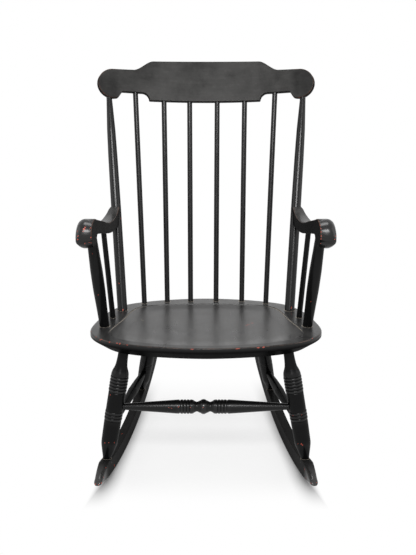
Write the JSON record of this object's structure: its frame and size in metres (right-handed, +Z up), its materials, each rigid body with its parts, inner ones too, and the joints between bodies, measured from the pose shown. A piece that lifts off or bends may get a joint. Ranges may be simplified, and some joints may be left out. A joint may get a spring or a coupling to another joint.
{
  "type": "boston rocking chair",
  "caption": "Wooden rocking chair with a plank seat, spindle back under a shaped crest rail, rolled arms, and turned legs and stretchers on curved rockers.",
  "frame": {"origin": "on the floor under the middle of the chair, midway between the rockers' ends and between the two sides", "axes": "+Z up, -Y towards the sitter's front, +X to the right of a viewer who faces the chair"},
  "size_m": [0.5962, 0.7462, 1.0104],
  "materials": {
    "frame_paint": "satin black paint, worn to a red undercoat and bare wood on its edges",
    "seat_paint": "thin black paint rubbed to a brownish grey, with scratches and chipped edges",
    "peg_wood": "dark end grain, painted over"
  },
  "bodies": {
    "root": {"arm_left": "frame_paint", "arm_peg_left": "peg_wood", "arm_peg_right": "peg_wood", "arm_post_left": "frame_paint", "arm_post_right": "frame_paint", "arm_right": "frame_paint", "arm_spindle_left": "frame_paint", "arm_spindle_right": "frame_paint", "back_post_left": "frame_paint", "back_post_right": "frame_paint", "back_spindle_1": "frame_paint", "back_spindle_2": "frame_paint", "back_spindle_3": "frame_paint", "back_spindle_4": "frame_paint", "back_spindle_5": "frame_paint", "back_spindle_6": "frame_paint", "crest_peg_left": "peg_wood", "crest_peg_right": "peg_wood", "crest_rail": "frame_paint", "front_leg_left": "frame_paint", "front_leg_right": "frame_paint", "front_stretcher": "frame_paint", "rear_leg_left": "frame_paint", "rear_leg_right": "frame_paint", "rear_stretcher": "frame_paint", "rocker_left": "frame_paint", "rocker_peg_front_left": "peg_wood", "rocker_peg_front_right": "peg_wood", "rocker_peg_rear_left": "peg_wood", "rocker_peg_rear_right": "peg_wood", "rocker_right": "frame_paint", "seat": "seat_paint", "side_stretcher_left": "frame_paint", "side_stretcher_right": "frame_paint"}
  },
  "joints": []
}
